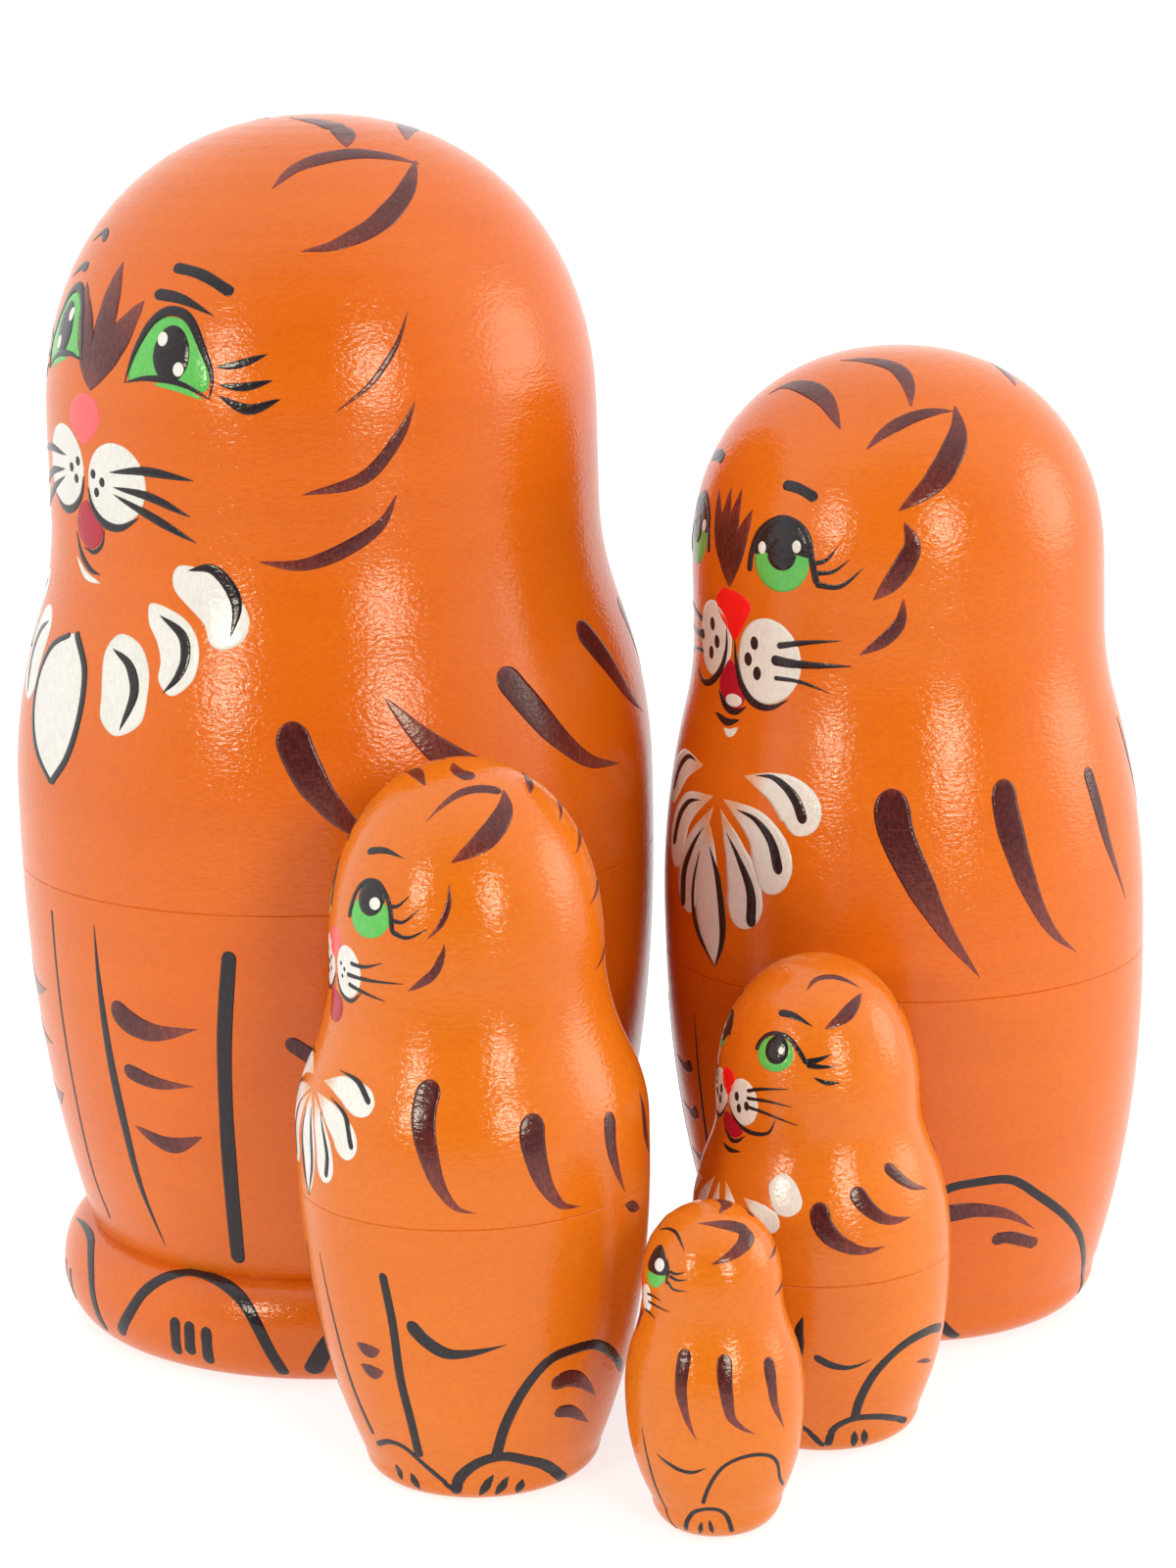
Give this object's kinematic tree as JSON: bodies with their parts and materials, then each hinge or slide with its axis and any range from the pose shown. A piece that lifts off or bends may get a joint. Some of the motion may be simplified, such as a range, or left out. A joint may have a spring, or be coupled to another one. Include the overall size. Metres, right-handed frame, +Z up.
{
  "type": "nesting doll set",
  "caption": "Hollow turned wooden nesting dolls painted as orange cats, each parting at its waist to hold the next smaller one.",
  "frame": {"origin": "middle of the flat foot of the tallest doll, on the table", "axes": "+Z up along the tallest doll's axis; the tallest doll faces -Y"},
  "size_m": [0.1598, 0.1433, 0.175],
  "materials": {
    "lacquered_wood": "satin",
    "bare_wood": "matte",
    "dark_paint": "satin",
    "brown_paint": "satin",
    "white_paint": "satin",
    "green_paint": "satin",
    "red_paint": "satin",
    "pink_paint": "satin",
    "crimson_paint": "satin"
  },
  "bodies": {
    "doll_1_bottom": {"doll_1_bottom": "lacquered_wood"},
    "doll_1_top": {"doll_1_top": "lacquered_wood"},
    "doll_2_bottom": {"doll_2_bottom": "lacquered_wood"},
    "doll_2_top": {"doll_2_top": "lacquered_wood"},
    "doll_3_bottom": {"doll_3_bottom": "lacquered_wood"},
    "doll_3_top": {"doll_3_top": "lacquered_wood"},
    "doll_4_bottom": {"doll_4_bottom": "lacquered_wood"},
    "doll_4_top": {"doll_4_top": "lacquered_wood"},
    "doll_5": {"doll_5": "lacquered_wood"}
  },
  "joints": [
    {"name": "doll_1_open", "type": "slide", "parent": "doll_1_bottom", "child": "doll_1_top", "axis": [0, 0, 1], "range_m": [0, 0.09]},
    {"name": "doll_2_open", "type": "slide", "parent": "doll_2_bottom", "child": "doll_2_top", "axis": [0, 0, 1], "range_m": [0, 0.052]},
    {"name": "doll_3_open", "type": "slide", "parent": "doll_3_bottom", "child": "doll_3_top", "axis": [0, 0, 1], "range_m": [0, 0.034]},
    {"name": "doll_4_open", "type": "slide", "parent": "doll_4_bottom", "child": "doll_4_top", "axis": [0, 0, 1], "range_m": [0, 0.024]},
    {"name": "doll_2_lift", "type": "slide", "parent": "doll_1_bottom", "child": "doll_2_bottom", "axis": [0, 0, 1], "range_m": [0, 0.08]},
    {"name": "doll_3_lift", "type": "slide", "parent": "doll_1_bottom", "child": "doll_3_bottom", "axis": [0, 0, 1], "range_m": [0, 0.063]},
    {"name": "doll_4_lift", "type": "slide", "parent": "doll_1_bottom", "child": "doll_4_bottom", "axis": [0, 0, 1], "range_m": [0, 0.047]},
    {"name": "doll_5_lift", "type": "slide", "parent": "doll_1_bottom", "child": "doll_5", "axis": [0, 0, 1], "range_m": [0, 0.032]}
  ]
}
